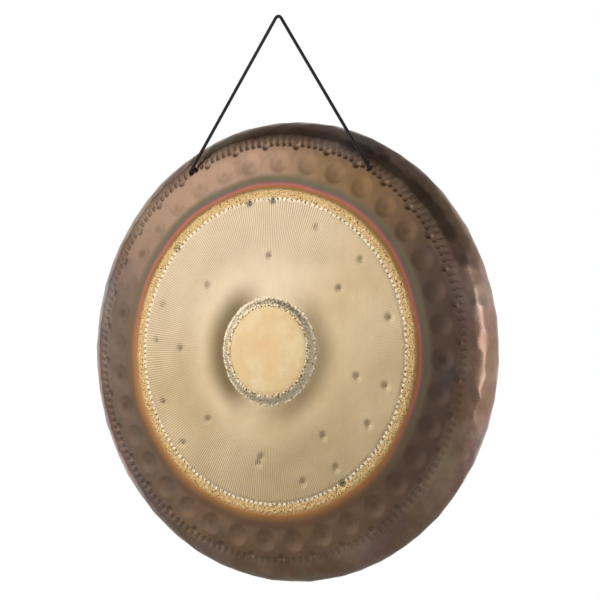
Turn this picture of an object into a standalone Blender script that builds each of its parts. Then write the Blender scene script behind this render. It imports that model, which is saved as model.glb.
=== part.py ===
"""Symphonic gong of 32 inches on its hanging cord.

One disc of hammered bronze hangs by a black cord that goes through two drilled holes near its top and is
knotted behind the sheet. The origin is the point under the top of the cord where a hook carries it. +Z is up
and the face looks towards -Y. Lengths are in metres and angles in degrees.
"""

import math

import bpy
from mathutils import Matrix, Vector

# Sheet outline. Radii are from the gong's axis, and depths are on the front surface, behind the boss's foot.
GONG_DIAMETER = 0.813
BOSS_TOP_RADIUS = 0.077
BOSS_FOOT_RADIUS = 0.0945
BOSS_HEIGHT = 0.0055
BOSS_CROWN = 0.0015
FIELD_RADIUS = 0.280
FIELD_FALL = 0.0035
SHOULDER_DEPTH = 0.0154
SHOULDER_SLOPE = 9.5
SHOULDER_ROUND = 0.047
RIM_CURL_ROUND = 0.030
RIM_CURL_ANGLE = 32.0
FACE_THICKNESS = 0.0018
RIM_THICKNESS = 0.0023

# Hanging cord, its holes and its stopper knots
CORD_DIAMETER = 0.006
CORD_RISE = 0.270
HOLE_CLEARANCE = 0.002
HOLE_INSET = 0.0409
HOLE_ANGLE = 30.0
KNOT_DIAMETER = 0.018
KNOT_LENGTH = 0.015
KNOT_TAIL = 0.022
TOUCH_GAP = 0.0003

# Centre line of the cord where it bends over the hook, (x, z) from the top down the right leg
CORD_BEND_ROUTE = (
    (0.0000, 0.0030),
    (0.0027, 0.0024),
    (0.0051, 0.0004),
    (0.0087, -0.0048),
    (0.0144, -0.0133),
    (0.0242, -0.0282),
)

# How finely round shapes are cut
SHELL_STEPS = 88
BOSS_STEPS = 3
RING_STEPS = 4
FIELD_STEPS = 4
OXIDE_STEPS = 4
SHOULDER_STEPS = 8
CURL_STEPS = 3
HOLE_SIDES = 20
KNOT_SIDES = 16
KNOT_STEPS = 8
TIP_STEPS = 3
LEG_STEPS = 19
BEND_CUTS = 3

BRONZE = ((0.62, 0.47, 0.27, 1.0), 0.32, 1.0)
BLACK_NYLON = ((0.018, 0.017, 0.017, 1.0), 0.55, 0.0)

HOLE_CIRCLE_RADIUS = GONG_DIAMETER / 2 - HOLE_INSET
HOLE_DIAMETER = CORD_DIAMETER + HOLE_CLEARANCE
CORD_RADIUS = CORD_DIAMETER / 2
SMALLEST_MERGE = 0.00005


def clear_scene():
    for old in list(bpy.data.objects):
        bpy.data.objects.remove(old)


def material(name, look):
    colour, roughness, metallic = look
    made = bpy.data.materials.new(name)
    made.use_nodes = True
    shader = made.node_tree.nodes["Principled BSDF"]
    shader.inputs["Base Color"].default_value = colour
    shader.inputs["Roughness"].default_value = roughness
    shader.inputs["Metallic"].default_value = metallic
    made.diffuse_color = colour
    return made


def add_object(name, data, parent=None, look=None):
    made = bpy.data.objects.new(name, data)
    bpy.context.scene.collection.objects.link(made)
    made.parent = parent
    if look is not None:
        data.materials.append(look)
    return made


def boss_depth(radius):
    """The boss's crowned top, then the smooth step down to its foot."""
    if radius <= BOSS_TOP_RADIUS:
        return -BOSS_HEIGHT - BOSS_CROWN * (1 - (radius / BOSS_TOP_RADIUS) ** 2)
    share = (radius - BOSS_TOP_RADIUS) / (BOSS_FOOT_RADIUS - BOSS_TOP_RADIUS)
    return -BOSS_HEIGHT * (1 + math.cos(math.pi * share)) / 2


def shoulder_start():
    """Where the shoulder's arc begins: its radius, and the arc's centre as radius and depth."""
    slope = math.radians(SHOULDER_SLOPE)
    centre_radius = GONG_DIAMETER / 2 - SHOULDER_ROUND
    centre_depth = SHOULDER_DEPTH + SHOULDER_ROUND * math.cos(slope)
    return centre_radius + SHOULDER_ROUND * math.sin(slope), centre_radius, centre_depth


def spread(first, last, steps):
    """Values from first to last, without first."""
    return [first + (last - first) * (i + 1) / steps for i in range(steps)]


def front_profile():
    """The front surface as (radius, depth) points, from the centre out and round to the back edge."""
    start, centre_radius, centre_depth = shoulder_start()
    points = [(0.0, boss_depth(0.0))]
    boss_top = spread(0.0, BOSS_TOP_RADIUS, BOSS_STEPS)
    boss_ring = spread(BOSS_TOP_RADIUS, BOSS_FOOT_RADIUS, RING_STEPS)
    for radius in boss_top + boss_ring:
        points.append((radius, boss_depth(radius)))
    for radius in spread(BOSS_FOOT_RADIUS, FIELD_RADIUS, FIELD_STEPS):
        share = (radius - BOSS_FOOT_RADIUS) / (FIELD_RADIUS - BOSS_FOOT_RADIUS)
        points.append((radius, FIELD_FALL * share**2))
    # The oxide ring falls back ever more steeply and meets the shoulder's arc at its slope
    width = start - FIELD_RADIUS
    end_fall = math.tan(math.radians(SHOULDER_SLOPE)) * width
    whole_fall = SHOULDER_DEPTH - FIELD_FALL
    for radius in spread(FIELD_RADIUS, start, OXIDE_STEPS):
        share = (radius - FIELD_RADIUS) / width
        fall = (2 * whole_fall - end_fall) * share + (end_fall - whole_fall) * share**2
        points.append((radius, FIELD_FALL + fall))
    for angle in spread(SHOULDER_SLOPE, 90.0, SHOULDER_STEPS):
        turn = math.radians(angle)
        radius = centre_radius + SHOULDER_ROUND * math.sin(turn)
        points.append((radius, centre_depth - SHOULDER_ROUND * math.cos(turn)))
    for angle in spread(0.0, RIM_CURL_ANGLE, CURL_STEPS):
        turn = math.radians(angle)
        radius = GONG_DIAMETER / 2 - RIM_CURL_ROUND * (1 - math.cos(turn))
        points.append((radius, centre_depth + RIM_CURL_ROUND * math.sin(turn)))
    return points


def sheet_section():
    """Closed section of the sheet: front profile, flat back edge, and the back surface to the centre."""
    front = front_profile()
    start, _, widest_depth = shoulder_start()
    widest = GONG_DIAMETER / 2
    back = []
    for i, (radius, depth) in enumerate(front):
        before = Vector(front[max(i - 1, 0)])
        after = Vector(front[min(i + 1, len(front) - 1)])
        along = (after - before).normalized() if i else Vector((1.0, 0.0))
        share = min(max((radius - start) / (widest - start), 0.0), 1.0)
        if depth > widest_depth:
            share = 1.0
        thickness = FACE_THICKNESS + (RIM_THICKNESS - FACE_THICKNESS) * share
        back.append((radius - along.y * thickness, depth + along.x * thickness))
    edge_radius, edge_depth = front[-1]
    back[-1] = (edge_radius - RIM_THICKNESS / math.cos(math.radians(RIM_CURL_ANGLE)), edge_depth)
    back[0] = (0.0, back[0][1])
    return front + back[::-1]


def surface_at(radius):
    """Depth and slope in radians of the front surface at a radius short of the widest point."""
    front = front_profile()
    for (r0, d0), (r1, d1) in zip(front, front[1:]):
        if r0 <= radius <= r1:
            return d0 + (d1 - d0) * (radius - r0) / (r1 - r0), math.atan2(d1 - d0, r1 - r0)
    raise ValueError("the radius is outside the face")


def centre_of_mass_depth():
    """Depth of the turned sheet's centre of mass, from the section's moments about the axis."""
    section = sheet_section()
    volume = 0.0
    moment = 0.0
    for (r0, d0), (r1, d1) in zip(section, section[1:] + section[:1]):
        rise = d1 - d0
        near_share = 3 * r0 * r0 + 2 * r0 * r1 + r1 * r1
        far_share = r0 * r0 + 2 * r0 * r1 + 3 * r1 * r1
        volume += rise * (near_share + far_share) / 24
        moment += rise * (d0 * near_share + d1 * far_share) / 24
    return moment / volume


def cord_bend():
    """Where the cord bends at a hole, in the gong's own frame: (x of the right hole, depth, height)."""
    depth, slope = surface_at(HOLE_CIRCLE_RADIUS)
    stand_off = CORD_RADIUS + TOUCH_GAP
    radius = HOLE_CIRCLE_RADIUS + math.sin(slope) * stand_off
    turn = math.radians(HOLE_ANGLE)
    return radius * math.sin(turn), depth - math.cos(slope) * stand_off, radius * math.cos(turn)


def gong_frame():
    """The gong's empty: on the line through both cord bends, at the angle at which the gong hangs still."""
    _, depth, height = cord_bend()
    hang_angle = math.atan2(centre_of_mass_depth() - depth, height)
    swing = add_object("gong_swing_axis", None)
    swing.location = (0.0, 0.0, CORD_RADIUS - CORD_RISE)
    swing.rotation_euler = (-hang_angle, 0.0, 0.0)
    swing.empty_display_size = 0.05
    return swing


def into_hole(side):
    """Frame of a hole: its origin is where the cord bends, and its Z goes in square to the sheet."""
    x, _, _ = cord_bend()
    _, slope = surface_at(HOLE_CIRCLE_RADIUS)
    turn = math.radians(HOLE_ANGLE)
    inward = math.sin(slope)
    into = Vector((-side * inward * math.sin(turn), math.cos(slope), -inward * math.cos(turn)))
    turned = into.to_track_quat("Z", "Y").to_matrix().to_4x4()
    return Matrix.Translation((side * x, 0.0, 0.0)) @ turned


def add_turned(name, profile, steps, parent, look):
    """A solid turned about its own Z from (x, z) points that run down its outside, from axis to axis."""
    mesh = bpy.data.meshes.new(name)
    mesh.from_pydata([(x, 0.0, z) for x, z in profile], [(i, i + 1) for i in range(len(profile) - 1)], [])
    made = add_object(name, mesh, parent, look)
    turn = made.modifiers.new("turn", "SCREW")
    turn.axis = "Z"
    turn.steps = steps
    turn.render_steps = steps
    turn.use_merge_vertices = True
    turn.merge_threshold = SMALLEST_MERGE
    turn.use_smooth_shade = True
    return made


def add_shell(swing, look):
    _, depth, height = cord_bend()
    profile = [(radius, -behind) for radius, behind in sheet_section()]
    shell = add_turned("gong_shell", profile, SHELL_STEPS, swing, look)
    shell.location = (0.0, -depth, -height)
    shell.rotation_euler = (math.radians(90.0), 0.0, 0.0)
    for name, side in (("left_hole_cutter", -1), ("right_hole_cutter", 1)):
        drill = shell.modifiers.new(name, "BOOLEAN")
        drill.operation = "DIFFERENCE"
        drill.object = add_hole_cutter(name, side, swing)
    return shell


def add_hole_cutter(name, side, swing):
    """A drill through the sheet at one hole, left out of the build."""
    reach = CORD_DIAMETER + FACE_THICKNESS + KNOT_LENGTH
    radius = HOLE_DIAMETER / 2
    profile = [(0.0, reach), (radius, reach), (radius, 0.0), (0.0, 0.0)]
    cutter = add_turned(name, profile, HOLE_SIDES, swing, None)
    cutter.matrix_local = into_hole(side)
    cutter.hide_render = True
    cutter.display_type = "WIRE"
    return cutter


def knot_profile():
    """Outline of a cord end down from its tail's tip, as (radius, distance past the cord bend)."""
    start = CORD_RADIUS + TOUCH_GAP
    knot_start = CORD_RADIUS + TOUCH_GAP + FACE_THICKNESS + TOUCH_GAP
    knot_end = knot_start + KNOT_LENGTH
    tail_end = knot_end + KNOT_TAIL
    swell = KNOT_DIAMETER / 2 - CORD_RADIUS
    points = [(0.0, tail_end)]
    for turn in spread(0.0, math.pi / 2, TIP_STEPS):
        points.append((CORD_RADIUS * math.sin(turn), tail_end - CORD_RADIUS * (1 - math.cos(turn))))
    for turn in [0.0] + spread(0.0, math.pi, KNOT_STEPS):
        along = (knot_start + knot_end) / 2 + KNOT_LENGTH / 2 * math.cos(turn)
        points.append((CORD_RADIUS + swell * math.sin(turn), along))
    points.append((CORD_RADIUS, start))
    points.append((0.0, start))
    return points


def add_knots(swing, look):
    for name, side in (("left_knot", -1), ("right_knot", 1)):
        knot = add_turned(name, knot_profile(), KNOT_SIDES, swing, look)
        knot.matrix_local = into_hole(side)


def cord_leg():
    """The right leg's centre line from its top to its hole, and how many cuts each of its stretches has."""
    x, _, _ = cord_bend()
    mouth = Vector((x, 0.0, CORD_RADIUS - CORD_RISE))
    bend = [Vector((x, 0.0, z)) for x, z in CORD_BEND_ROUTE]
    leg = [bend[-1].lerp(mouth, share) for share in spread(0.0, 1.0, LEG_STEPS)]
    return bend + leg, [BEND_CUTS] * (len(bend) - 1) + [1] * LEG_STEPS


def smooth_points(route, cuts):
    """Points on a smooth curve through the route, with so many cuts in each of its stretches."""
    ends = [route[0] * 2 - route[1]] + route + [route[-1] * 2 - route[-2]]
    points = []
    for a, b, c, d, pieces in zip(ends, ends[1:], ends[2:], ends[3:], cuts):
        for i in range(pieces):
            t = i / pieces
            bow = 2 * a - 5 * b + 4 * c - d
            skew = 3 * b - a - 3 * c + d
            points.append((2 * b + (c - a) * t + bow * t**2 + skew * t**3) / 2)
    return points + [route[-1]]


def add_cord(look):
    """The free cord from hole to hole over the hook, with round ends where it bends into the holes."""
    right, cuts = cord_leg()
    left = [Vector((-point.x, point.y, point.z)) for point in right[:0:-1]]
    points = smooth_points(left + right, cuts[::-1] + cuts)
    route = [(point, 1.0) for point in points]
    for turn in spread(0.0, math.radians(80.0), TIP_STEPS):
        past = CORD_RADIUS * math.sin(turn)
        first = points[0] + (points[0] - points[1]).normalized() * past
        last = points[-1] + (points[-1] - points[-2]).normalized() * past
        route = [(first, math.cos(turn))] + route + [(last, math.cos(turn))]
    curve = bpy.data.curves.new("hanging_cord", "CURVE")
    curve.dimensions = "3D"
    curve.bevel_depth = CORD_RADIUS
    curve.bevel_resolution = 2
    curve.use_fill_caps = True
    spline = curve.splines.new("POLY")
    spline.points.add(len(route) - 1)
    for made, (point, share) in zip(spline.points, route):
        made.co = (*point, 1.0)
        made.radius = share
    return add_object("hanging_cord", curve, None, look)


def main():
    clear_scene()
    bronze = material("hammered_bronze", BRONZE)
    nylon = material("black_nylon", BLACK_NYLON)
    swing = gong_frame()
    add_shell(swing, bronze)
    add_knots(swing, nylon)
    add_cord(nylon)


main()
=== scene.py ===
"""Looks for the symphonic gong: hammered sheet, hanging cord with its knots, and a plain white studio.

Lengths are in metres and angles in degrees. The gong's own frame has X to the right, Y into its depth
and Z up, with its origin at the centre of the boss's foot. Clock angles run clockwise from the top as seen
from the front.
"""

import math
import random

import bpy
import numpy as np
from mathutils import Matrix, Vector, kdtree, noise


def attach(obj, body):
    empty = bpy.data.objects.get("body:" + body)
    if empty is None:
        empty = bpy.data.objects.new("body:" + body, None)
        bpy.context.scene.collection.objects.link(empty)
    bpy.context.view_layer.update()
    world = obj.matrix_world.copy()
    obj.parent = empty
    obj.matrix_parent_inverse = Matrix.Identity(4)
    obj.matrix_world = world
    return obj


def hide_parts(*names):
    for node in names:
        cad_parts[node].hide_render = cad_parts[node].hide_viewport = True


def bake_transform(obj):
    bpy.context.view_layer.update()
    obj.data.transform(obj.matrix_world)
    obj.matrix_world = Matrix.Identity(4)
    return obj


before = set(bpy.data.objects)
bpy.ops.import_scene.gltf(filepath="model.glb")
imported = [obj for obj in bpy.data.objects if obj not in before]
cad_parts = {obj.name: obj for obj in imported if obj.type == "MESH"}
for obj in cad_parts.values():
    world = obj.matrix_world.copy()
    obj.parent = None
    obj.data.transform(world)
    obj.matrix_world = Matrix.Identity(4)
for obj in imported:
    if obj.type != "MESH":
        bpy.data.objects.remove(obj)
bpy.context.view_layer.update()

# Outline of the sheet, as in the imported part
GONG_RADIUS = 0.4065
BOSS_TOP_RADIUS = 0.077
BOSS_FOOT_RADIUS = 0.0945
BOSS_HEIGHT = 0.0055
BOSS_CROWN = 0.0015
FIELD_RADIUS = 0.280
FIELD_FALL = 0.0035
SHOULDER_DEPTH = 0.0154
SHOULDER_SLOPE = 9.5
SHOULDER_ROUND = 0.047
RIM_CURL_ROUND = 0.030
RIM_CURL_ANGLE = 32.0
FACE_THICKNESS = 0.0018
RIM_THICKNESS = 0.0023

# Drilled holes and the cord through them
HOLE_RADIUS = 0.004
HOLE_CIRCLE_RADIUS = 0.3656
HOLE_ANGLE = 30.0
CORD_RADIUS = 0.003

# Camera as the photograph's, from the ellipses of the gong's rings
CAMERA_PLACE = (1.6558, -2.7484, -0.4860)
CAMERA_AIM = (0.0414, 0.0145, -0.4940)
CAMERA_ROLL = 0.584
CAMERA_LENS = 109.76

random.seed(7)


def spread(first, last, step):
    """Values from first to last, without last, about a step apart."""
    count = max(1, round((last - first) / step))
    return [first + (last - first) * i / count for i in range(count)]


# The sheet's base surface


def profile_table():
    """Fine (radius, depth) points of the smooth front surface from the centre to the back edge."""
    slope = math.radians(SHOULDER_SLOPE)
    centre_radius = GONG_RADIUS - SHOULDER_ROUND
    centre_depth = SHOULDER_DEPTH + SHOULDER_ROUND * math.cos(slope)
    start = centre_radius + SHOULDER_ROUND * math.sin(slope)
    radius = np.arange(0.0, start, 0.0005)
    in_top = radius <= BOSS_TOP_RADIUS
    in_ring = (radius > BOSS_TOP_RADIUS) & (radius <= BOSS_FOOT_RADIUS)
    top = -BOSS_HEIGHT - BOSS_CROWN * (1 - (radius / BOSS_TOP_RADIUS) ** 2)
    ring_share = (radius - BOSS_TOP_RADIUS) / (BOSS_FOOT_RADIUS - BOSS_TOP_RADIUS)
    ring = -BOSS_HEIGHT * (1 + np.cos(np.pi * ring_share)) / 2
    field = FIELD_FALL * ((radius - BOSS_FOOT_RADIUS) / (FIELD_RADIUS - BOSS_FOOT_RADIUS)) ** 2
    width = start - FIELD_RADIUS
    end_fall = math.tan(slope) * width
    whole_fall = SHOULDER_DEPTH - FIELD_FALL
    share = (radius - FIELD_RADIUS) / width
    oxide = FIELD_FALL + (2 * whole_fall - end_fall) * share + (end_fall - whole_fall) * share**2
    depth = np.where(in_top, top, np.where(in_ring, ring, np.where(radius < FIELD_RADIUS, field, oxide)))
    turn = np.radians(np.linspace(SHOULDER_SLOPE, 90.0, 160))
    curl = np.radians(np.linspace(0.0, RIM_CURL_ANGLE, 40)[1:])
    radius = np.concatenate([
        radius,
        centre_radius + SHOULDER_ROUND * np.sin(turn),
        GONG_RADIUS - RIM_CURL_ROUND * (1 - np.cos(curl)),
    ])
    depth = np.concatenate([
        depth,
        centre_depth - SHOULDER_ROUND * np.cos(turn),
        centre_depth + RIM_CURL_ROUND * np.sin(curl),
    ])
    return radius, depth


PROFILE_RADIUS, PROFILE_DEPTH = profile_table()
PROFILE_STEPS = np.hypot(np.diff(PROFILE_RADIUS), np.diff(PROFILE_DEPTH))
PROFILE_REACH = np.concatenate([[0.0], np.cumsum(PROFILE_STEPS)])
PROFILE_SLOPE = np.arctan2(np.gradient(PROFILE_DEPTH), np.gradient(PROFILE_RADIUS))
WHOLE_REACH = PROFILE_REACH[-1]
WIDEST = int(np.argmax(PROFILE_RADIUS)) + 1


def on_profile(reach):
    """Radius, depth and slope at a distance along the front surface from the centre."""
    return (
        np.interp(reach, PROFILE_REACH, PROFILE_RADIUS),
        np.interp(reach, PROFILE_REACH, PROFILE_DEPTH),
        np.interp(reach, PROFILE_REACH, PROFILE_SLOPE),
    )


def reach_at(radius):
    """Distance along the front surface from the centre to a radius on it."""
    return np.interp(radius, PROFILE_RADIUS[:WIDEST], PROFILE_REACH[:WIDEST])


# Relief of the hammered front, as functions of arrays of radius and clock angle that give a height

BOSS_RING = (0.0760, 0.0962)
GOLD_EDGE = (0.2620, 0.2850)
FLECK_RADIUS = 0.0034
FLECK_DEPTH = 0.00045
FLECK_SPACING = 1.35
FLECK_MARGIN = 0.006
FLECK_FADE = 0.0015
BEAD_HEIGHT = 0.0006
FILLET_HEIGHT = 0.0013
FILLET_RADIUS = 0.128
DENT_RADIUS = 0.0090
DENT_DEPTH = 0.0018
DIMPLE_COUNT = 36
DIMPLE_FIRST = 1.0
DIMPLE_CIRCLE = 0.3310
DIMPLE_RADIUS = 0.0195
DIMPLE_DEPTH = 0.0013
GROOVE_COUNT = 180
GROOVE_FIRST = 0.0
SLOT_COUNT = 360
SLOT_DEPTH = 0.0005
GROOVE_CIRCLE = 0.3690
GROOVE_HALF_LENGTH = 0.0085
GROOVE_HALF_WIDTH = 0.0052
GROOVE_DEPTH = 0.0011
PUNCH_COUNT = 36
PUNCH_FIRST = 6.0
PUNCH_CIRCLE = 0.3610
PUNCH_RADIUS = 0.0072
PUNCH_DEPTH = 0.0015
LINE_COUNT = 360.0
BEAD_COUNT = 176.0
LUMP_RADIUS = 0.030
LUMP_DEPTH = 0.0016
LUMP_OUTWARD = 0.0008
LUMP_START = 0.378
LUMP_ROWS = 4
LUMPS_ROUND = 68
LUMP_STRETCH = 1.6
FACE_SHARE = 0.86
MARKED_SHARE = 0.90

# Single hammer dents in the gold field as (radius, clock angle)
DENTS = (
    (0.167, 358.5),
    (0.176, 51.0),
    (0.179, 102.5),
    (0.181, 142.0),
    (0.186, 184.0),
    (0.197, 184.8),
    (0.176, 225.0),
    (0.188, 270.0),
    (0.174, 311.0),
    (0.234, 22.5),
    (0.239, 48.0),
    (0.241, 75.0),
    (0.235, 103.0),
    (0.231, 121.0),
    (0.240, 145.0),
    (0.236, 162.0),
    (0.246, 226.5),
    (0.244, 246.5),
    (0.242, 273.0),
    (0.241, 289.0),
    (0.264, 349.5),
    (0.263, 0.0),
    (0.269, 312.0),
    (0.269, 146.0),
)


def ease(value, low, high):
    """0 below low, 1 above high, smooth between."""
    share = np.clip((value - low) / (high - low), 0.0, 1.0)
    return share * share * (3 - 2 * share)


def in_band(value, low, high, soft):
    return ease(value, low - soft, low + soft) * (1 - ease(value, high - soft, high + soft))


def flat_place(radius, angle):
    turn = np.radians(angle)
    return radius * np.sin(turn), radius * np.cos(turn)


def nearest_distance(x, z, places, reach):
    """Distance of each point to the nearest of the places, at most reach."""
    tree = kdtree.KDTree(len(places))
    for i, (px, pz) in enumerate(places):
        tree.insert((px, pz, 0.0), i)
    tree.balance()
    found = np.full(len(x), reach)
    for i in range(len(x)):
        distance = tree.find((x[i], z[i], 0.0))[2]
        found[i] = min(distance, reach)
    return found


def fleck_places(band, step):
    """Seeded hammer blows spread evenly over a ring, a little beyond its edges here and there."""
    inner, outer = band
    places = []
    rows = round((outer - inner) / step)
    for row in range(rows + 1):
        radius = inner + (outer - inner) * row / rows
        count = round(2 * math.pi * radius / step)
        for i in range(count):
            spot = radius + random.uniform(-0.5, 0.5) * step
            angle = 360.0 * (i + random.uniform(-0.45, 0.45)) / count
            places.append(flat_place(spot, angle))
    return places


def flecks(radius, angle, band):
    """Overlapping small round blows, with ridges where they meet."""
    height = np.zeros(len(radius))
    near = (radius > band[0] - FLECK_MARGIN) & (radius < band[1] + FLECK_MARGIN)
    if not near.any():
        return height
    x, z = flat_place(radius[near], angle[near])
    distance = nearest_distance(x, z, fleck_places(band, FLECK_RADIUS * FLECK_SPACING), FLECK_RADIUS)
    bowl = 1 - (distance / FLECK_RADIUS) ** 2
    height[near] = -FLECK_DEPTH * bowl * in_band(radius[near], band[0], band[1], FLECK_FADE)
    return height


def boss_bead(radius):
    """The boss ring's low bulge, and the soft hollow where the field rises to it."""
    middle = (BOSS_RING[0] + BOSS_RING[1]) / 2
    half = (BOSS_RING[1] - BOSS_RING[0]) / 2
    bead = BEAD_HEIGHT * np.clip(1 - ((radius - middle) / half) ** 2, 0.0, 1.0)
    share = np.clip((FILLET_RADIUS - radius) / (FILLET_RADIUS - BOSS_FOOT_RADIUS), 0.0, 1.0)
    rise = FILLET_HEIGHT * share**2 * ease(radius, BOSS_TOP_RADIUS, BOSS_FOOT_RADIUS)
    return bead + rise


def round_dent(x, z, place, size, depth, power):
    share = ((x - place[0]) ** 2 + (z - place[1]) ** 2) / size**2
    return -depth * np.clip(1 - share, 0.0, 1.0) ** power


def single_dents(radius, angle):
    x, z = flat_place(radius, angle)
    height = np.zeros(len(radius))
    for place in DENTS:
        height += round_dent(x, z, flat_place(*place), DENT_RADIUS, DENT_DEPTH, 2)
    return height


def repeated(angle, first, count):
    """Angle in degrees from the nearest of count equally spaced marks."""
    pitch = 360.0 / count
    return (angle - first + pitch / 2) % pitch - pitch / 2


def dimples(radius, angle):
    """Shallow round caps with a crisp edge, all round the oxide ring."""
    aside = np.radians(repeated(angle, DIMPLE_FIRST, DIMPLE_COUNT)) * radius
    share = (aside**2 + (radius - DIMPLE_CIRCLE) ** 2) / DIMPLE_RADIUS**2
    return -DIMPLE_DEPTH * np.clip(1 - share, 0.0, 1.0)


def grooves(radius, angle):
    """The ring of short radial grooves with finer slots between and a wider punch mark at every fifth."""
    aside = np.radians(repeated(angle, GROOVE_FIRST, GROOVE_COUNT)) * radius / GROOVE_HALF_WIDTH
    along = (radius - GROOVE_CIRCLE) / GROOVE_HALF_LENGTH
    across = np.clip(1 - aside**2, 0.0, 1.0)
    groove = GROOVE_DEPTH * across * np.clip(1 - along**4, 0.0, 1.0) * (1 - 0.35 * along)
    slot = 0.5 + 0.5 * np.cos(np.radians(angle) * SLOT_COUNT)
    groove += SLOT_DEPTH * slot * np.clip(1 - (along - 0.5) ** 4, 0.0, 1.0)
    aside = np.radians(repeated(angle, PUNCH_FIRST, PUNCH_COUNT)) * radius
    share = (aside**2 + (radius - PUNCH_CIRCLE) ** 2) / PUNCH_RADIUS**2
    punch = PUNCH_DEPTH * np.clip(1 - share, 0.0, 1.0)
    return -np.maximum(groove, punch)


def lumps(reach, radius, angle):
    """Broad hammered facets round the shoulder, with ridges between that stand out a little."""
    start = reach_at(LUMP_START)
    height = np.zeros(len(reach))
    near = reach > start - 0.01
    if not near.any():
        return height
    around = np.radians(angle[near]) * GONG_RADIUS
    places = []
    chooser = random.Random(31)
    for row in range(LUMP_ROWS):
        along = start + 0.012 + (WHOLE_REACH - start) * row / LUMP_ROWS
        for i in range(-1, LUMPS_ROUND + 1):
            share = i + 0.5 * (row % 2) + chooser.uniform(-0.4, 0.4)
            spot = 2 * math.pi * GONG_RADIUS * share / LUMPS_ROUND
            places.append((spot, (along + chooser.uniform(-0.006, 0.006)) * LUMP_STRETCH))
    distance = nearest_distance(around, reach[near] * LUMP_STRETCH, places, LUMP_RADIUS)
    bowl = 1 - (distance / LUMP_RADIUS) ** 2
    cord_side = np.abs(repeated(angle[near], 0.0, 1))
    clear_of_cord = 1 - in_band(cord_side, 24.0, 36.0, 4.0)
    outward = LUMP_OUTWARD * clear_of_cord
    height[near] = (outward - LUMP_DEPTH * bowl) * ease(reach[near], start, start + 0.010)
    return height


def swells(radius, angle):
    """Slow unevenness of the hand-hammered face."""
    x, z = flat_place(radius, angle)
    height = np.zeros(len(radius))
    for i in range(len(radius)):
        slow = noise.noise(Vector((x[i] * 14, z[i] * 14, 3.1)))
        quick = noise.noise(Vector((x[i] * 34, z[i] * 34, 8.7)))
        height[i] = 0.00045 * slow + 0.00010 * quick
    return height * ease(radius, 0.090, 0.110) * (1 - ease(radius, 0.350, 0.366))


def wide_relief(reach, radius, angle):
    """What goes right through the sheet and so shows on its back too."""
    inner = reach < WHOLE_REACH * FACE_SHARE
    face = single_dents(radius, angle) + dimples(radius, angle) + boss_bead(radius)
    dents = np.where(inner, face, 0.0)
    return dents + lumps(reach, radius, angle) + swells(radius, angle) * inner


def fine_relief(reach, radius, angle):
    """What shows on the front alone."""
    inner = reach < WHOLE_REACH * MARKED_SHARE
    marks = flecks(radius, angle, BOSS_RING) + flecks(radius, angle, GOLD_EDGE)
    return np.where(inner, marks + grooves(radius, angle), 0.0)


# The gong's mesh


FACE_END = 0.3673
FINE_END = 0.36889
SHOULDER_START = 0.3790
BACK_SHOULDER = 0.3860


def front_rings():
    """(reach, count of points) of each ring from the centre to the back edge, finer where the relief is.

    Each zone has the radius from and to, the step between its rings and the points on a ring. The fine rings
    of the grooves end at FINE_END, and one wide band joins them to the shoulder.
    """
    zones = (
        (0.0064, 0.0740, 0.0062, 120),
        (0.0740, 0.0985, 0.0019, 480),
        (0.0985, 0.2590, 0.0040, 420),
        (0.2590, 0.2880, 0.0021, 840),
        (0.2880, 0.3120, 0.0048, 480),
        (0.3120, 0.3515, 0.0028, 720),
        (0.3515, SHOULDER_START, 0.0021, 1440),
    )
    rings = []
    for first, last, step, count in zones:
        for radius in spread(first, last, step):
            if radius < FINE_END:
                rings.append((reach_at(radius), count))
    rings.append((reach_at(FINE_END), count))
    for reach in spread(reach_at(SHOULDER_START), WHOLE_REACH, 0.0032) + [WHOLE_REACH]:
        rings.append((reach, 480))
    return rings


def back_rings():
    """The back's rings, from the edge in to the centre."""
    zones = (
        (0.0150, 0.0740, 0.0120, 96),
        (0.0740, 0.1000, 0.0043, 240),
        (0.1000, 0.3120, 0.0090, 240),
        (0.3120, 0.3540, 0.0035, 360),
        (0.3540, BACK_SHOULDER, 0.0060, 360),
    )
    rings = []
    for first, last, step, count in zones:
        for radius in spread(first, last, step):
            rings.append((reach_at(radius), count))
    for reach in spread(reach_at(BACK_SHOULDER), WHOLE_REACH - 0.002, 0.0055) + [WHOLE_REACH]:
        rings.append((reach, 240))
    return rings[::-1]


def sheet_points(rings, back):
    """Points of the rings on one side of the sheet, and the depth of the relief at each."""
    reach = np.concatenate([np.full(count, at) for at, count in rings])
    angle = np.concatenate([np.arange(count) * 360.0 / count for _, count in rings])
    radius, depth, slope = on_profile(reach)
    relief = wide_relief(reach, radius, angle)
    if not back:
        relief = relief + fine_relief(reach, radius, angle)
    height = relief
    if back:
        share = np.clip((radius - FACE_END) / (GONG_RADIUS - FACE_END), 0.0, 1.0)
        share = np.where(slope > math.pi / 2, 1.0, share)
        height = relief - FACE_THICKNESS - (RIM_THICKNESS - FACE_THICKNESS) * share
    out = radius + np.sin(slope) * height
    behind = depth - np.cos(slope) * height
    turn = np.radians(angle)
    return np.stack([out * np.sin(turn), behind, out * np.cos(turn)], axis=1), relief


def stitch(first, first_count, second, second_count):
    """Triangles between two rings whose points start at the indices first and second."""
    triangles = []
    i = 0
    j = 0
    while i < first_count or j < second_count:
        here = first + i % first_count
        there = second + j % second_count
        if j * first_count <= i * second_count and j < second_count or i == first_count:
            j += 1
            triangles.append((here, there, second + j % second_count))
        else:
            i += 1
            triangles.append((here, there, first + i % first_count))
    return triangles


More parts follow.
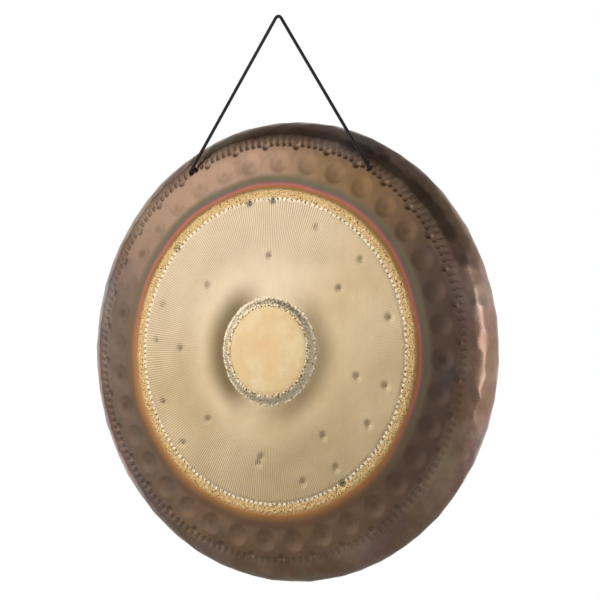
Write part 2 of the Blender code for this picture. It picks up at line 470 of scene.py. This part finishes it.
def gong_mesh():
    front = front_rings()
    back = back_rings()
    front_points, front_relief = sheet_points(front, False)
    back_points, back_relief = sheet_points(back, True)
    rings = front + back
    points = np.concatenate([front_points, back_points, [[0.0, 0.0, 0.0], [0.0, 0.0, 0.0]]])
    relief = np.concatenate([front_relief, back_relief, [0.0, 0.0]])
    front_centre = len(points) - 2
    back_centre = len(points) - 1
    points[front_centre] = (0.0, -BOSS_HEIGHT - BOSS_CROWN, 0.0)
    points[back_centre] = (0.0, -BOSS_HEIGHT - BOSS_CROWN + FACE_THICKNESS, 0.0)
    starts = np.concatenate([[0], np.cumsum([count for _, count in rings])])
    faces = []
    for i in range(len(rings) - 1):
        faces += stitch(int(starts[i]), rings[i][1], int(starts[i + 1]), rings[i + 1][1])
    for i in range(rings[0][1]):
        faces.append((front_centre, i, (i + 1) % rings[0][1]))
    last = int(starts[-2])
    for i in range(rings[-1][1]):
        faces.append((back_centre, last + (i + 1) % rings[-1][1], last + i))
    mesh = bpy.data.meshes.new("hammered_sheet")
    mesh.from_pydata(points.tolist(), [], faces)
    mesh.attributes.new("relief", "FLOAT", "POINT").data.foreach_set("value", relief.astype(np.float32))
    behind = np.zeros(len(points), np.float32)
    behind[len(front_points):] = 1.0
    behind[front_centre] = 0.0
    mesh.attributes.new("behind", "FLOAT", "POINT").data.foreach_set("value", behind)
    mesh.shade_smooth()
    return mesh


# Places in the world


HINGE_HEIGHT = -0.267
HANG_ANGLE = 1.3031738
BEND_OUT = 0.18306
BEND_DEPTH = 0.0118767
BEND_HEIGHT = 0.3170693
DRILL_SIDES = 40
DRILL_FROM = -0.004
DRILL_TO = 0.014

hinge_place = Matrix.Translation((0.0, 0.0, HINGE_HEIGHT))
swing_frame = hinge_place @ Matrix.Rotation(math.radians(-HANG_ANGLE), 4, "X")
gong_frame = swing_frame @ Matrix.Translation((0.0, -BEND_DEPTH, -BEND_HEIGHT))


def hole_frame(side):
    """Frame of a hole: its origin is where the cord bends, and its Z goes in square to the sheet."""
    slope = np.interp(HOLE_CIRCLE_RADIUS, PROFILE_RADIUS[:WIDEST], PROFILE_SLOPE[:WIDEST])
    turn = math.radians(HOLE_ANGLE)
    inward = math.sin(slope)
    into = Vector((-side * inward * math.sin(turn), math.cos(slope), -inward * math.cos(turn)))
    turned = into.to_track_quat("Z", "Y").to_matrix().to_4x4()
    return swing_frame @ Matrix.Translation((side * BEND_OUT, 0.0, 0.0)) @ turned


def drill_holes(gong):
    for side in (-1, 1):
        mesh = bpy.data.meshes.new("drill")
        count = DRILL_SIDES
        ring = [2 * math.pi * i / count for i in range(count)]
        low = [(HOLE_RADIUS * math.cos(t), HOLE_RADIUS * math.sin(t), DRILL_FROM) for t in ring]
        high = [(x, y, DRILL_TO) for x, y, _ in low]
        sides = [(i, (i + 1) % count, count + (i + 1) % count, count + i) for i in range(count)]
        ends = [tuple(range(count - 1, -1, -1)), tuple(range(count, 2 * count))]
        mesh.from_pydata(low + high, [], sides + ends)
        drill = bpy.data.objects.new("drill", mesh)
        bpy.context.scene.collection.objects.link(drill)
        drill.matrix_world = hole_frame(side)
        cut = gong.modifiers.new("hole", "BOOLEAN")
        cut.operation = "DIFFERENCE"
        cut.solver = "EXACT"
        cut.object = drill
        bpy.context.view_layer.update()
        shape = bpy.data.meshes.new_from_object(gong.evaluated_get(bpy.context.evaluated_depsgraph_get()))
        gong.modifiers.remove(cut)
        gong.data = shape
        bpy.data.objects.remove(drill)
    gong.data.set_sharp_from_angle(angle=math.radians(50))


# Cord and knots as swept tubes


CORD_BEND_ROUTE = (
    (0.0000, 0.0030),
    (0.0027, 0.0024),
    (0.0051, 0.0004),
    (0.0087, -0.0048),
    (0.0144, -0.0133),
    (0.0242, -0.0282),
)
CORD_TURN_RADIUS = 0.004
BRAID_STRANDS = 8
BRAID_PITCH = 0.010
BRAID_RELIEF = 0.00012
TUBE_SIDES = 20
CAP_STEPS = 5
CORD_STEP = 0.0008
KNOT_STEP = 0.0007


def smooth_points(route, cuts):
    """Points on a smooth curve through the route, with the same number of cuts in each stretch."""
    ends = [route[0] * 2 - route[1]] + route + [route[-1] * 2 - route[-2]]
    points = []
    for a, b, c, d in zip(ends, ends[1:], ends[2:], ends[3:]):
        for i in range(cuts):
            t = i / cuts
            bow = 2 * a - 5 * b + 4 * c - d
            skew = 3 * b - a - 3 * c + d
            points.append((2 * b + (c - a) * t + bow * t**2 + skew * t**3) / 2)
    return points + [route[-1]]


def even_points(points, step):
    """The same line with points a steady step apart."""
    line = np.array([tuple(point) for point in points])
    reach = np.concatenate([[0.0], np.cumsum(np.linalg.norm(np.diff(line, axis=0), axis=1))])
    count = max(2, round(reach[-1] / step))
    at = np.linspace(0.0, reach[-1], count + 1)
    return [Vector([np.interp(s, reach, line[:, k]) for k in range(3)]) for s in at]


def braided_tube(name, points, radius, sides, round_start, round_end):
    """A braided round cord swept along points, with a UV map of turns around it and metres along it."""
    vertices = []
    around_values = []
    along_values = []
    shares = [1.0] * len(points)
    for i in range(CAP_STEPS):
        share = math.sqrt(max(0.0, 1 - (1 - (i + 0.4) / CAP_STEPS) ** 2))
        if round_start:
            shares[i] = share
        if round_end:
            shares[-1 - i] = share
    tangent = (points[1] - points[0]).normalized()
    across = tangent.orthogonal().normalized()
    along = 0.0
    for i, point in enumerate(points):
        ahead = points[min(i + 1, len(points) - 1)] - points[max(i - 1, 0)]
        turned = tangent.rotation_difference(ahead.normalized())
        across.rotate(turned)
        tangent = ahead.normalized()
        across = (across - tangent * across.dot(tangent)).normalized()
        side = tangent.cross(across)
        if i:
            along += (point - points[i - 1]).length
        for k in range(sides):
            turn = 2 * math.pi * k / sides
            twist = 2 * math.pi * along / BRAID_PITCH
            over = math.sin(BRAID_STRANDS / 2 * turn + twist)
            under = math.sin(BRAID_STRANDS / 2 * turn - twist)
            reach = (radius - BRAID_RELIEF * (0.5 - 0.5 * over * under)) * shares[i]
            vertices.append(point + (across * math.cos(turn) + side * math.sin(turn)) * reach)
            around_values.append(k / sides)
            along_values.append(along)
    faces = []
    for i in range(len(points) - 1):
        for k in range(sides):
            nxt = (k + 1) % sides
            faces.append((i * sides + k, i * sides + nxt, (i + 1) * sides + nxt, (i + 1) * sides + k))
    faces.append(tuple(range(sides - 1, -1, -1)))
    faces.append(tuple(range((len(points) - 1) * sides, len(points) * sides)))
    mesh = bpy.data.meshes.new(name)
    mesh.from_pydata(vertices, [], faces)
    uv = mesh.uv_layers.new(name="UVMap")
    for loop in mesh.loops:
        uv.data[loop.index].uv = (around_values[loop.vertex_index], along_values[loop.vertex_index])
    for face in mesh.polygons:
        corners = [uv.data[i] for i in face.loop_indices]
        if len(corners) == 4 and max(c.uv[0] for c in corners) > 0.9:
            for corner in corners:
                if corner.uv[0] < 0.5:
                    corner.uv[0] += 1.0
    mesh.shade_smooth()
    made = bpy.data.objects.new(name, mesh)
    bpy.context.scene.collection.objects.link(made)
    return made


def cord_route():
    """Centre line of the free cord from the left hole over the hook to the right hole."""
    right = [Vector((x, 0.0, z)) for x, z in CORD_BEND_ROUTE]
    frame_right = hole_frame(1)
    mouth = frame_right.translation
    into = (frame_right.to_3x3() @ Vector((0.0, 0.0, 1.0))).normalized()
    down = (mouth - right[-1]).normalized()
    turn_start = mouth - down * CORD_TURN_RADIUS
    for i in range(1, 12):
        right.append(right[5].lerp(turn_start, i / 11))
    for i in range(1, 9):
        t = i / 8
        before = turn_start.lerp(mouth, t)
        after = mouth.lerp(mouth + into * CORD_TURN_RADIUS, t)
        right.append(before.lerp(after, t))
    left = [Vector((-p.x, p.y, p.z)) for p in right[:0:-1]]
    return even_points(smooth_points(left + right, 8), CORD_STEP)


def knot_route(side):
    """A wrapped stopper knot behind the sheet.

    The cord goes in, turns back round itself and leaves through its own turns.
    """
    half = CORD_RADIUS
    wrap = 2 * half
    first = 0.0174
    last = 0.0085
    turns = 1.5
    route = [Vector((0.0, 0.0, z)) for z in (CORD_TURN_RADIUS, 0.0070, 0.0100, 0.0130)]
    route.append(Vector((0.0022, -0.0012, 0.0162)))
    steps = 18
    for i in range(steps + 1):
        turn = 2 * math.pi * turns * i / steps
        z = first + (last - first) * i / steps
        route.append(Vector((wrap * math.cos(turn), side * wrap * math.sin(turn), z)))
    route.append(Vector((-0.0035, -side * 0.0030, 0.0090)))
    route.append(Vector((-0.0015, -side * 0.0020, 0.0130)))
    route.append(Vector((-0.0018, -side * 0.0015, 0.0180)))
    route.append(Vector((-0.0026, -side * 0.0018, 0.0250)))
    route.append(Vector((-0.0030, -side * 0.0032, 0.0330)))
    route.append(Vector((-0.0026, -side * 0.0050, 0.0405)))
    inside = hole_frame(side)
    return [inside @ p for p in even_points(smooth_points(route, 6), KNOT_STEP)]


# Materials


# Colour zones of the sheet by radius in millimetres. Four numbers are where a zone starts, is full, begins
# to fade and ends, and two are where one zone passes into the next.
BOSS_EDGE = (74.0, 80.0)
RING_ZONE = (76.0, 78.0, 94.0, 96.0)
BOSS_SHADE = (100.0, 148.0)
LINED_ZONE = (125.0, 200.0, 260.0, 265.0)
FLECKED_ZONE = (263.0, 266.0, 281.0, 286.0)
BEADS_END = (266.0, 271.0)
GOLD_END = (279.0, 285.0)
FRINGE_END = (303.0, 316.0)
RIM_START = (350.0, 376.0)
PIT_DEPTHS = (1.0, 1.8)
LINE_HEIGHT = 0.00017
GRAIN_HEIGHT = 0.00001
UNEVEN_HEIGHT = 0.00012


def srgb(red, green, blue):
    """A colour from 0 to 255 values as the linear values that a shader takes."""
    linear = []
    for value in (red, green, blue):
        share = value / 255
        linear.append(share / 12.92 if share <= 0.04045 else ((share + 0.055) / 1.055) ** 2.4)
    return (*linear, 1.0)


class Graph:
    """A material's node tree with short calls for the nodes that repeat."""

    def __init__(self, name):
        self.material = bpy.data.materials.new(name)
        self.material.use_nodes = True
        self.tree = self.material.node_tree
        self.tree.nodes.clear()
        self.shader = self.node("ShaderNodeBsdfPrincipled")
        output = self.node("ShaderNodeOutputMaterial")
        self.tree.links.new(self.shader.outputs["BSDF"], output.inputs["Surface"])

    def node(self, kind, **settings):
        made = self.tree.nodes.new(kind)
        for name, value in settings.items():
            setattr(made, name, value)
        return made

    def put(self, value, socket):
        if isinstance(value, bpy.types.NodeSocket):
            self.tree.links.new(value, socket)
        else:
            socket.default_value = value

    def math(self, operation, first, second=0.0, clamp=False):
        made = self.node("ShaderNodeMath", operation=operation, use_clamp=clamp)
        self.put(first, made.inputs[0])
        self.put(second, made.inputs[1])
        return made.outputs[0]

    def ease(self, value, low, high, first=0.0, last=1.0):
        made = self.node("ShaderNodeMapRange", interpolation_type="SMOOTHSTEP")
        for i, put in enumerate((value, low, high, first, last)):
            self.put(put, made.inputs[i])
        return made.outputs[0]

    def noise(self, vector, scale, detail=2.0, roughness=0.5):
        made = self.node("ShaderNodeTexNoise")
        self.put(vector, made.inputs["Vector"])
        self.put(scale, made.inputs["Scale"])
        self.put(detail, made.inputs["Detail"])
        self.put(roughness, made.inputs["Roughness"])
        return made.outputs["Fac"]

    def between(self, value, start, full, fade, end):
        """0 outside start to end, 1 from full to fade, smooth between."""
        falling = self.math("SUBTRACT", 1.0, self.ease(value, fade, end))
        return self.math("MULTIPLY", self.ease(value, start, full), falling)

    def shift(self, value, noise, amount):
        """The value moved up or down by a noise, by at most half the amount."""
        centred = self.math("SUBTRACT", noise, 0.5)
        return self.math("ADD", value, self.math("MULTIPLY", centred, amount))

    def wave(self, phase):
        """Sine of an angle in radians."""
        return self.math("SINE", phase)

    def bump(self, height):
        """Tilts the shader's surface by a height in metres."""
        made = self.node("ShaderNodeBump")
        made.inputs["Distance"].default_value = 1.0
        self.put(height, made.inputs["Height"])
        self.put(made.outputs[0], self.shader.inputs["Normal"])

    def mix(self, share, first, second, blend="MIX"):
        made = self.node("ShaderNodeMix", data_type="RGBA", blend_type=blend)
        self.put(share, made.inputs[0])
        self.put(first, made.inputs[6])
        self.put(second, made.inputs[7])
        return made.outputs[2]

    def ramp(self, value, stops):
        """Colours by a value, with stops as (value, colour) in rising order."""
        low = stops[0][0]
        high = stops[-1][0]
        place = self.node("ShaderNodeMapRange")
        for i, put in enumerate((value, low, high, 0.0, 1.0)):
            self.put(put, place.inputs[i])
        made = self.node("ShaderNodeValToRGB")
        elements = made.color_ramp.elements
        while len(elements) < len(stops):
            elements.new(0.5)
        for element, (at, colour) in zip(elements, stops):
            element.position = (at - low) / (high - low)
            element.color = colour
        self.put(place.outputs[0], made.inputs[0])
        return made.outputs[0]

    def attribute(self, name):
        return self.node("ShaderNodeAttribute", attribute_name=name).outputs["Fac"]


def polar(g):
    """Radius in millimetres, the two parts of the outward direction, and the object's own coordinates."""
    place = g.node("ShaderNodeTexCoord").outputs["Object"]
    split = g.node("ShaderNodeSeparateXYZ")
    g.put(place, split.inputs[0])
    x = split.outputs[0]
    z = split.outputs[2]
    square = g.math("ADD", g.math("MULTIPLY", x, x), g.math("MULTIPLY", z, z))
    radius = g.math("MAXIMUM", g.math("SQRT", square), 0.001)
    right = g.math("DIVIDE", x, radius)
    up = g.math("DIVIDE", z, radius)
    return g.math("MULTIPLY", radius, 1000.0), right, up, place


def toward(g, right, up, angle, low=0.0, high=1.0):
    """1 in the direction of a clock angle, and 0 away from it."""
    turn = math.radians(angle)
    aside = g.math("MULTIPLY", right, math.sin(turn))
    above = g.math("MULTIPLY", up, math.cos(turn))
    return g.ease(g.math("ADD", aside, above), low, high)


def gold_colour(g, radius, right, up, place):
    """The bare bronze of the boss and the field, with painted highlight and painted shade on it."""
    cloud = g.noise(place, 9.0, 3.0)
    pale = g.mix(g.ease(cloud, 0.35, 0.68), srgb(206, 181, 142), srgb(220, 196, 158))
    # Painted highlight: the field is made lighter towards the upper left, and painted shade makes it darker
    # towards the lower right.
    bright = toward(g, right, up, 335.0, 0.1, 0.98)
    pale = g.mix(g.math("MULTIPLY", bright, 0.75), pale, srgb(234, 211, 180))
    lower_right_shade = toward(g, right, up, 135.0, 0.2, 1.0)
    pale = g.mix(g.math("MULTIPLY", lower_right_shade, 0.55), pale, srgb(190, 167, 128))
    # Painted shade: the field just outside the boss is darkened, most on the left and less on the right.
    shade = g.math("SUBTRACT", 1.0, g.ease(radius, *BOSS_SHADE))
    right_side = g.math("MULTIPLY", toward(g, right, up, 105.0, 0.0, 0.8), 0.6)
    sides = g.math("ADD", toward(g, right, up, 275.0, 0.1, 0.8), right_side, True)
    shade = g.math("MULTIPLY", shade, g.math("MULTIPLY", sides, 0.85))
    pale = g.mix(shade, pale, srgb(104, 84, 50))
    disc = g.mix(g.ease(g.noise(place, 26.0, 3.0), 0.4, 0.65), srgb(220, 190, 142), srgb(230, 204, 160))
    smudge = g.math("SUBTRACT", 1.0, g.ease(radius, 4.0, 42.0))
    disc = g.mix(g.math("MULTIPLY", smudge, 0.35), disc, srgb(222, 172, 116))
    return g.mix(g.ease(radius, *BOSS_EDGE), disc, pale)


def radial_lines(g, turn, place):
    """Even fine lines from the boss outwards, as a height from 0 to 1."""
    wander = g.math("MULTIPLY", g.noise(place, 12.0, 2.0), 2.5)
    phase = g.math("ADD", g.math("MULTIPLY", turn, LINE_COUNT), wander)
    return g.ease(g.wave(phase), -0.9, 0.9)


def fringe_colour(g, radius, right, up):
    """Heat colours just outside the gold, strongest from the left round the top to the right."""
    colours = g.ramp(radius, [
        (280.0, srgb(176, 142, 96)),
        (284.0, srgb(134, 110, 66)),
        (288.0, srgb(162, 104, 68)),
        (292.0, srgb(176, 112, 94)),
        (296.0, srgb(138, 98, 100)),
        (300.0, srgb(112, 108, 84)),
        (306.0, srgb(126, 110, 88)),
        (316.0, srgb(132, 110, 94)),
    ])
    plain = g.ramp(radius, [
        (280.0, srgb(184, 146, 96)),
        (288.0, srgb(176, 124, 76)),
        (300.0, srgb(128, 98, 74)),
        (316.0, srgb(104, 84, 72)),
    ])
    return g.mix(toward(g, right, up, 20.0, -0.75, 0.35), plain, colours)


def oxide_colour(g, radius, right, up, place):
    """Dark patina from the fringe to the back edge."""
    left = srgb(124, 104, 90)
    top = srgb(182, 148, 124)
    upper_right = srgb(146, 114, 82)
    right_side = srgb(108, 88, 76)
    bottom = srgb(140, 112, 88)
    colour = g.mix(toward(g, right, up, 0.0, 0.1, 0.95), left, top)
    colour = g.mix(toward(g, right, up, 48.0, 0.55, 0.95), colour, upper_right)
    colour = g.mix(toward(g, right, up, 100.0, 0.35, 0.9), colour, right_side)
    colour = g.mix(toward(g, right, up, 180.0, 0.5, 1.0), colour, bottom)
    cloud = g.noise(place, 16.0, 4.0, 0.6)
    colour = g.mix(g.ease(cloud, 0.52, 0.72, 0.0, 0.35), colour, srgb(74, 76, 84))
    colour = g.mix(g.ease(g.noise(place, 30.0, 3.0, 0.6), 0.5, 0.75, 0.0, 0.3), colour, srgb(120, 84, 66))
    rim = g.mix(g.ease(g.noise(place, 11.0, 4.0, 0.6), 0.4, 0.7), srgb(140, 114, 98), srgb(190, 166, 142))
    tint = g.ramp(g.noise(place, 7.0, 2.0), [
        (0.30, srgb(120, 126, 90)),
        (0.44, srgb(158, 124, 96)),
        (0.54, srgb(168, 124, 124)),
        (0.68, srgb(138, 142, 150)),
    ])
    rim = g.mix(0.35, rim, tint)
    return g.mix(g.ease(radius, *RIM_START, 0.0, 0.9), colour, rim)


def ring_fleck_glints(g, radius, fleck):
    """Painted highlights as cream crests on the boss ring, and painted shade as dark pits, most of them on
    its inner side.
    """
    # Painted shade: the ring's inner side is darkened.
    inner_side_shade = g.ease(radius, 79.0, 84.0, 0.12, 0.0)
    return g.ramp(g.math("SUBTRACT", fleck, inner_side_shade), [
        (0.28, srgb(112, 82, 46)),
        (0.38, srgb(214, 184, 136)),
        (0.46, srgb(244, 226, 192)),
        (0.80, srgb(250, 236, 208)),
    ])


def edge_fleck_glints(g, ragged, turn, fleck):
    """Painted highlights on a row of bead-like blows at the gold's edge with painted shade between them, and
    mixed flecks outside it whose cream ones are painted highlights too.
    """
    # The brown, orange and green flecks are the metal's own colours; the cream ones are painted highlights.
    outer = g.ramp(fleck, [
        (0.30, srgb(100, 74, 40)),
        (0.39, srgb(178, 116, 68)),
        (0.47, srgb(222, 182, 124)),
        (0.54, srgb(238, 212, 160)),
        (0.61, srgb(158, 142, 86)),
        (0.70, srgb(198, 152, 98)),
    ])
    phase = g.math("ADD", g.math("MULTIPLY", turn, BEAD_COUNT), g.math("MULTIPLY", fleck, 11.0))
    # Painted highlights on a row of bead marks, with painted shade in the gaps between them.
    bead_glints = g.mix(g.ease(g.wave(phase), -0.7, 0.0), srgb(128, 98, 56), srgb(250, 236, 206))
    return g.mix(g.ease(ragged, *BEADS_END), bead_glints, outer)


def back_colour(g, radius, place):
    """The plain back, dark with a lighter middle."""
    back = g.mix(g.ease(radius, 60.0, 300.0), srgb(150, 122, 86), srgb(92, 74, 58))
    cloud = g.noise(place, 14.0, 4.0, 0.6)
    return g.mix(g.ease(cloud, 0.4, 0.7, 0.0, 0.5), back, srgb(70, 58, 50))


def hammered_bronze():
    """Bare bronze in the middle with painted highlight and shade, hammered rings with painted highlights and
    pit shade, heat colours and dark patina outside, and a plain back.
    """
    g = Graph("hammered_bronze")
    radius, right, up, place = polar(g)
    depth = g.math("MULTIPLY", g.attribute("relief"), -1000.0)
    ragged = g.shift(radius, g.noise(place, 170.0, 3.0, 0.7), 9.0)
    wavy = g.shift(radius, g.noise(place, 7.0, 2.0), 16.0)
    turn = g.math("ARCTAN2", right, up)
    fleck = g.noise(place, 330.0, 2.0, 0.6)

    lines = radial_lines(g, turn, place)
    smooth_side = g.math("SUBTRACT", 1.0, toward(g, right, up, 78.0, 0.35, 0.95))
    patchy = g.math("MULTIPLY", g.ease(g.noise(place, 8.0, 2.0), 0.35, 0.6), 0.25)
    lined = g.math("ADD", g.math("MULTIPLY", smooth_side, 0.75), patchy)
    strength = g.math("MULTIPLY", g.between(radius, *LINED_ZONE), lined)
    gold = gold_colour(g, radius, right, up, place)
    gold = g.mix(g.math("MULTIPLY", strength, g.math("MULTIPLY", lines, 0.42)), gold, srgb(166, 140, 100))
    gold = g.mix(g.between(ragged, *RING_ZONE), gold, ring_fleck_glints(g, radius, fleck))
    gold = g.mix(g.between(ragged, *FLECKED_ZONE), gold, edge_fleck_glints(g, ragged, turn, fleck))

    fringe = fringe_colour(g, wavy, right, up)
    oxide = oxide_colour(g, radius, right, up, place)
    dark = g.mix(g.ease(wavy, *FRINGE_END), fringe, oxide)
    colour = g.mix(g.ease(ragged, *GOLD_END), gold, dark)
    # Painted shade: the deeper dents, dimples, grooves and lumps are darkened by their depth.
    pit_shade = g.ease(depth, *PIT_DEPTHS)
    colour = g.mix(g.math("MULTIPLY", pit_shade, 0.60), colour, srgb(58, 44, 32))
    colour = g.mix(g.attribute("behind"), colour, back_colour(g, radius, place))
    g.put(colour, g.shader.inputs["Base Color"])
    g.shader.inputs["Metallic"].default_value = 1.0

    rough = g.ease(radius, 280.0, 300.0, 0.26, 0.28)
    g.put(g.shift(rough, g.noise(place, 24.0, 3.0), 0.16), g.shader.inputs["Roughness"])

    height = g.math("MULTIPLY", g.math("MULTIPLY", lines, strength), LINE_HEIGHT)
    height = g.math("ADD", height, g.math("MULTIPLY", g.noise(place, 900.0, 2.0), GRAIN_HEIGHT))
    height = g.math("ADD", height, g.math("MULTIPLY", g.noise(place, 60.0, 2.0), UNEVEN_HEIGHT))
    g.bump(height)
    return g.material


def black_nylon():
    """Black braided nylon: fine crossing yarns with painted sheen on their crests and painted shade between
    them, faint dust and a soft sheen.
    """
    g = Graph("black_nylon")
    uv = g.node("ShaderNodeUVMap", uv_map="UVMap").outputs[0]
    split = g.node("ShaderNodeSeparateXYZ")
    g.put(uv, split.inputs[0])
    turn = g.math("MULTIPLY", split.outputs[0], 2 * math.pi * BRAID_STRANDS)
    along = g.math("MULTIPLY", split.outputs[1], 4 * math.pi / BRAID_PITCH)
    over = g.wave(g.math("ADD", turn, along))
    under = g.wave(g.math("SUBTRACT", turn, along))
    braid = g.math("MULTIPLY", over, under)
    yarns = g.wave(g.math("MULTIPLY", g.math("ADD", turn, along), 4.0))
    place = g.node("ShaderNodeTexCoord").outputs["Object"]
    dust = g.noise(place, 240.0, 3.0, 0.6)
    # Painted sheen on the yarn crests and painted shade between them.
    colour = g.mix(g.ease(braid, -0.6, 0.9), srgb(18, 14, 13), srgb(48, 38, 34))
    colour = g.mix(g.ease(dust, 0.55, 0.75, 0.0, 0.3), colour, srgb(84, 72, 66))
    g.put(colour, g.shader.inputs["Base Color"])
    g.put(g.ease(dust, 0.3, 0.7, 0.38, 0.55), g.shader.inputs["Roughness"])
    g.shader.inputs["Sheen Weight"].default_value = 0.15
    g.shader.inputs["Sheen Roughness"].default_value = 0.4
    height = g.math("ADD", g.math("MULTIPLY", braid, 0.00008), g.math("MULTIPLY", yarns, 0.00002))
    g.bump(height)
    return g.material


# Studio


FLOOR_HEIGHT = -1.5
FLOOR_RADIUS = 2.3
FLOOR_FADE = (1.75, 2.70)
ROOM_STRENGTH = 0.40
WINDOW_DIRECTION = (-40.0, 10.0)
WINDOW_EDGES = (0.80, 0.985)
WINDOW_STRENGTH = 0.62
CEILING_STRENGTH = 0.22


def add_floor():
    """A round pale floor that fades out towards its edge."""
    mesh = bpy.data.meshes.new("floor")
    count = 96
    turns = [2 * math.pi * i / count for i in range(count)]
    ring = [(FLOOR_RADIUS * math.cos(t), FLOOR_RADIUS * math.sin(t), FLOOR_HEIGHT) for t in turns]
    mesh.from_pydata(ring, [], [range(count)])
    floor = bpy.data.objects.new("floor", mesh)
    bpy.context.scene.collection.objects.link(floor)
    g = Graph("pale_floor")
    place = g.node("ShaderNodeTexCoord").outputs["Object"]
    away = g.node("ShaderNodeVectorMath", operation="LENGTH")
    g.put(place, away.inputs[0])
    g.shader.inputs["Base Color"].default_value = (0.86, 0.86, 0.85, 1.0)
    g.shader.inputs["Roughness"].default_value = 0.7
    clear = g.node("ShaderNodeBsdfTransparent")
    blend = g.node("ShaderNodeMixShader")
    g.put(g.ease(away.outputs[1], *FLOOR_FADE), blend.inputs[0])
    g.put(g.shader.outputs[0], blend.inputs[1])
    g.put(clear.outputs[0], blend.inputs[2])
    output = [node for node in g.tree.nodes if node.type == "OUTPUT_MATERIAL"][0]
    g.put(blend.outputs[0], output.inputs[0])
    mesh.materials.append(g.material)


def sky_direction(azimuth, elevation):
    """Direction from the gong at an azimuth and elevation. Azimuth 0 is in front, 90 to the right."""
    turn = math.radians(azimuth)
    lift = math.radians(elevation)
    return Vector((math.sin(turn) * math.cos(lift), -math.cos(turn) * math.cos(lift), math.sin(lift)))


def add_world():
    """White behind the gong, a dimmer room in front with one broad soft window, and a dark ceiling."""
    world = bpy.data.worlds.new("studio")
    bpy.context.scene.world = world
    world.use_nodes = True
    tree = world.node_tree
    background = tree.nodes["Background"]
    place = tree.nodes.new("ShaderNodeTexCoord").outputs["Generated"]
    split = tree.nodes.new("ShaderNodeSeparateXYZ")
    tree.links.new(place, split.inputs[0])

    def eased(socket, values):
        made = tree.nodes.new("ShaderNodeMapRange")
        made.interpolation_type = "SMOOTHSTEP"
        tree.links.new(socket, made.inputs[0])
        for i, value in enumerate(values):
            made.inputs[i + 1].default_value = value
        return made.outputs[0]

    def together(operation, first, second):
        made = tree.nodes.new("ShaderNodeMath")
        made.operation = operation
        tree.links.new(first, made.inputs[0])
        tree.links.new(second, made.inputs[1])
        return made.outputs[0]

    toward_window = tree.nodes.new("ShaderNodeVectorMath")
    toward_window.operation = "DOT_PRODUCT"
    tree.links.new(place, toward_window.inputs[0])
    toward_window.inputs[1].default_value = sky_direction(*WINDOW_DIRECTION)
    room = eased(split.outputs[1], (-0.25, 0.15, ROOM_STRENGTH, 1.0))
    window = eased(toward_window.outputs["Value"], (*WINDOW_EDGES, 0.0, WINDOW_STRENGTH))
    ceiling = eased(split.outputs[2], (0.30, 0.66, 1.0, CEILING_STRENGTH))
    strength = together("MULTIPLY", together("ADD", room, window), ceiling)
    tree.links.new(strength, background.inputs["Strength"])
    background.inputs["Color"].default_value = (1.0, 1.0, 1.0, 1.0)


def add_area(name, azimuth, elevation, distance, width, height, power):
    """A soft light at an azimuth and elevation round the gong, facing it."""
    light = bpy.data.lights.new(name, "AREA")
    light.shape = "RECTANGLE"
    light.size = width
    light.size_y = height
    light.energy = power
    made = bpy.data.objects.new(name, light)
    bpy.context.scene.collection.objects.link(made)
    away = sky_direction(azimuth, elevation)
    made.location = gong_frame.translation + away * distance
    made.rotation_euler = away.to_track_quat("Z", "Y").to_euler()
    return made


def add_camera():
    camera = bpy.data.cameras.new("camera")
    camera.lens = CAMERA_LENS
    camera.clip_end = 50.0
    made = bpy.data.objects.new("camera", camera)
    bpy.context.scene.collection.objects.link(made)
    place = Vector(CAMERA_PLACE)
    ahead = (Vector(CAMERA_AIM) - place).normalized()
    right = ahead.cross(Vector((0.0, 0.0, 1.0))).normalized()
    up = right.cross(ahead)
    roll = math.radians(CAMERA_ROLL)
    rolled_right = right * math.cos(roll) + up * math.sin(roll)
    rolled_up = up * math.cos(roll) - right * math.sin(roll)
    turned = Matrix((rolled_right, rolled_up, -ahead)).transposed()
    made.matrix_world = Matrix.Translation(place) @ turned.to_4x4()
    bpy.context.scene.camera = made


# The gong with its cord


bronze = hammered_bronze()
nylon = black_nylon()

gong = bpy.data.objects.new("hammered_gong", gong_mesh())
bpy.context.scene.collection.objects.link(gong)
gong.matrix_world = gong_frame
drill_holes(gong)
gong.data.materials.append(bronze)
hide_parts("gong_shell")
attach(gong, "gong")

for side, node in ((-1, "left_knot"), (1, "right_knot")):
    knot = braided_tube("stopper_" + node, knot_route(side), CORD_RADIUS, TUBE_SIDES, False, True)
    knot.data.materials.append(nylon)
    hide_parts(node)
    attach(knot, "gong")

route = cord_route()
cord = braided_tube("braided_cord", route, CORD_RADIUS, TUBE_SIDES, False, False)
cord.data.materials.append(nylon)
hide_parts("hanging_cord")
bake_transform(cord)

add_floor()
add_world()
add_area("key", azimuth=-42.0, elevation=14.0, distance=2.6, width=2.0, height=2.0, power=2.5)
add_area("side", azimuth=78.0, elevation=4.0, distance=2.2, width=0.6, height=1.5, power=8.0)
add_camera()

scene = bpy.context.scene
scene.view_settings.view_transform = "Standard"
